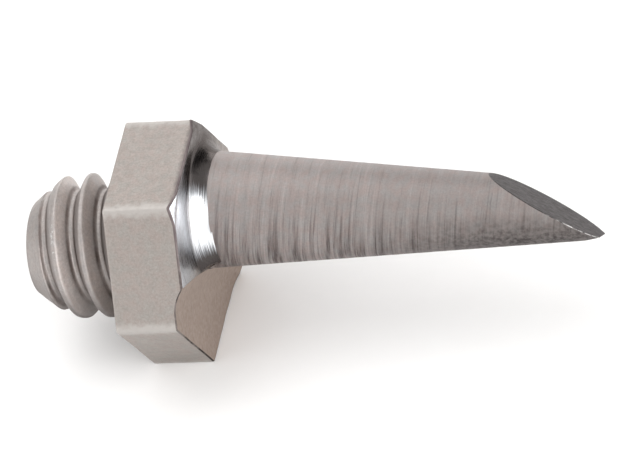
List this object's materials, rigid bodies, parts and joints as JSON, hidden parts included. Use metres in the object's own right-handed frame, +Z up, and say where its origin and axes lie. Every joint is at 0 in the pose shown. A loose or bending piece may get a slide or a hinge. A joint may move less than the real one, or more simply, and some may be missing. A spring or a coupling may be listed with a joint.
{
  "type": "screw-in ice spike",
  "caption": "Short screw-in ice spike: coarse threaded stud, hexagonal base and an off-centre tapered pin with one oblique ground facet, brazed on.",
  "frame": {"origin": "centre of the hexagon's seating face, on the thread axis", "axes": "+X along the thread axis from the stud towards the point; +Z up, square to one flat of the hexagon; +Y completes the right-hand set, and the tip facet faces 36 degrees from +Z towards +Y"},
  "size_m": [0.0255, 0.011, 0.0096],
  "materials": {
    "stud_steel": "rolled thread, satin grey with a thin dull plating",
    "base_steel": "matte tumbled grey steel with softly worn edges",
    "pin_steel": "satin turned steel with fine uneven tool lines, and a dark ground facet",
    "braze_metal": "bright smooth filler metal"
  },
  "bodies": {
    "root": {"threaded_stud": "stud_steel", "hex_base": "base_steel", "spike_pin": "pin_steel", "braze_fillet": "braze_metal"}
  },
  "joints": []
}
